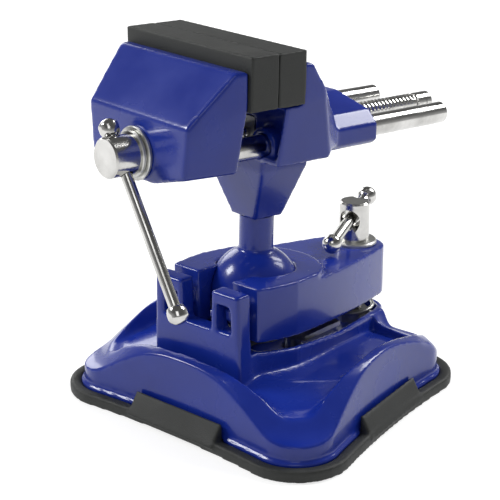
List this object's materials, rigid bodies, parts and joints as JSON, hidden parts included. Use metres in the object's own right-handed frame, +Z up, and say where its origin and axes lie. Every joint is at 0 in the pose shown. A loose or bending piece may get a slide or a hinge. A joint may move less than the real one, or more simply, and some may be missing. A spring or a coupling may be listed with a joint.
{
  "type": "suction base vise",
  "caption": "Small bench vise on a tilting ball, clamped by a lid over a lobed suction foot, with rubber jaws, guide rods and a lead screw with a sliding bar handle.",
  "frame": {"origin": "centre of the foot's flat underside, on the bench", "axes": "+X along the jaws, +Y from the handle to the back, +Z up"},
  "size_m": [0.134, 0.1643, 0.1479],
  "materials": {
    "enamel": "gloss royal blue enamel on cast metal",
    "rubber": "matt dark grey rubber",
    "bright_steel": "bright plated steel",
    "zinc": "zinc plated steel"
  },
  "bodies": {
    "base": {"base_casting": "enamel", "suction_pad": "rubber", "suction_stud": "zinc", "stud_nut": "zinc", "suction_lever": "zinc", "lever_pin": "zinc", "clamp_spring": "zinc"},
    "lid": {"clamp_body": "enamel", "clamp_nut": "zinc", "clamp_washer": "zinc"},
    "clamp_screw": {"clamp_screw": "bright_steel"},
    "clamp_bar": {"clamp_bar": "bright_steel", "clamp_bar_balls": "bright_steel"},
    "seat": {"ball_seat": "zinc"},
    "head": {"ball_stud": "enamel", "rear_jaw": "enamel", "neck_pin": "zinc", "drive_nut": "zinc", "rear_jaw_pad": "rubber"},
    "sliding_jaw": {"front_jaw": "enamel", "front_jaw_pad": "rubber", "guide_rods": "bright_steel", "rod_pins": "zinc", "screw_washer": "zinc"},
    "lead_screw": {"lead_screw": "bright_steel", "thrust_ring": "zinc", "screw_clip": "zinc", "end_collar": "bright_steel"},
    "handle": {"handle_bar": "bright_steel", "handle_knobs": "bright_steel"}
  },
  "joints": [
    {"name": "clamp_lift", "type": "hinge", "parent": "base", "child": "lid", "pos_m": [0, -0.0397, 0.0469], "axis": [1, 0, 0], "range_deg": [0, 1.2], "deforming": ["clamp_spring"]},
    {"name": "clamp_screw_turn", "type": "hinge", "parent": "lid", "child": "clamp_screw", "pos_m": [0, 0.05, 0.05], "axis": [0, 0, 1], "range_deg": [0, 540]},
    {"name": "clamp_bar_slide", "type": "slide", "parent": "clamp_screw", "child": "clamp_bar", "axis": [-0.2543, 0.9295, 0.2672], "range_m": [0, 0.0125]},
    {"name": "head_turn", "type": "hinge", "parent": "base", "child": "seat", "pos_m": [0, -0.0121, 0.0463], "axis": [0, 0, 1], "range_deg": [-110, 110]},
    {"name": "ball_tilt", "type": "hinge", "parent": "seat", "child": "head", "pos_m": [0, -0.0121, 0.0463], "axis": [0.9905, -0.1374, 0], "range_deg": [-20, 25]},
    {"name": "jaw_slide", "type": "slide", "parent": "head", "child": "sliding_jaw", "axis": [-0.1374, -0.99, 0.0321], "range_m": [0, 0.04]},
    {"name": "lead_screw_turn", "type": "hinge", "parent": "sliding_jaw", "child": "lead_screw", "pos_m": [-0.00796, -0.0695, 0.11109], "axis": [-0.1374, -0.99, 0.0321], "range_deg": [0, 7200]},
    {"name": "handle_slide", "type": "slide", "parent": "lead_screw", "child": "handle", "axis": [-0.5631, 0.1047, 0.8197], "range_m": [0, 0.049]}
  ],
  "couplings": [
    {"joint": "clamp_lift", "follows": "clamp_screw_turn", "ratio": 0.0022222},
    {"joint": "lead_screw_turn", "follows": "jaw_slide", "rad_per_m": 3141.6}
  ]
}
